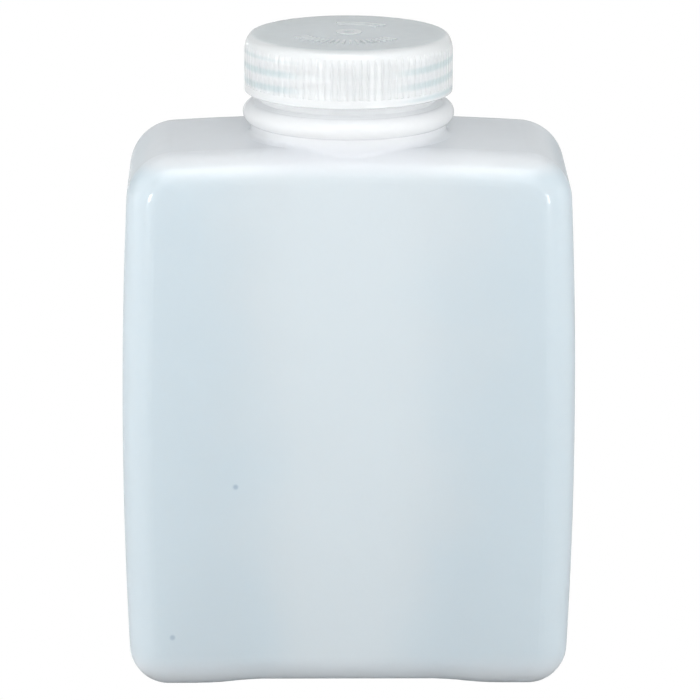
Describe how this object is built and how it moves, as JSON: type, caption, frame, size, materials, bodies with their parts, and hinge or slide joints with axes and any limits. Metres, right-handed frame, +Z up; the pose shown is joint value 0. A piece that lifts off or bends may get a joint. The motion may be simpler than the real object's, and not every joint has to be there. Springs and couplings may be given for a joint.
{
  "type": "reagent bottle",
  "caption": "Rectangular wide-mouth reagent bottle in milky plastic, with a ribbed screw cap that turns and lifts on its thread.",
  "frame": {"origin": "centre of the base on the resting plane, on the neck's axis", "axes": "+Z up along the neck, +X along the wide side, -Y towards the front wide face"},
  "size_m": [0.1262, 0.0624, 0.182],
  "materials": {
    "bottle_plastic": "translucent milky polyethylene, satin",
    "cap_plastic": "translucent polypropylene, moulded gloss",
    "seal_plastic": "smooth soft white polyethylene"
  },
  "bodies": {
    "bottle": {"bottle": "bottle_plastic"},
    "seal": {"seal_ring": "seal_plastic"},
    "cap": {"cap": "cap_plastic"}
  },
  "joints": [
    {"name": "cap_lift", "type": "slide", "parent": "bottle", "child": "seal", "axis": [0, 0, 1], "range_m": [0, 0.0212]},
    {"name": "cap_turn", "type": "hinge", "parent": "seal", "child": "cap", "pos_m": [0, 0, 0.1655], "axis": [0, 0, 1], "range_deg": [0, 1800]}
  ],
  "couplings": [
    {"joint": "cap_lift", "follows": "cap_turn", "m_per_rad": 0.0006737}
  ]
}
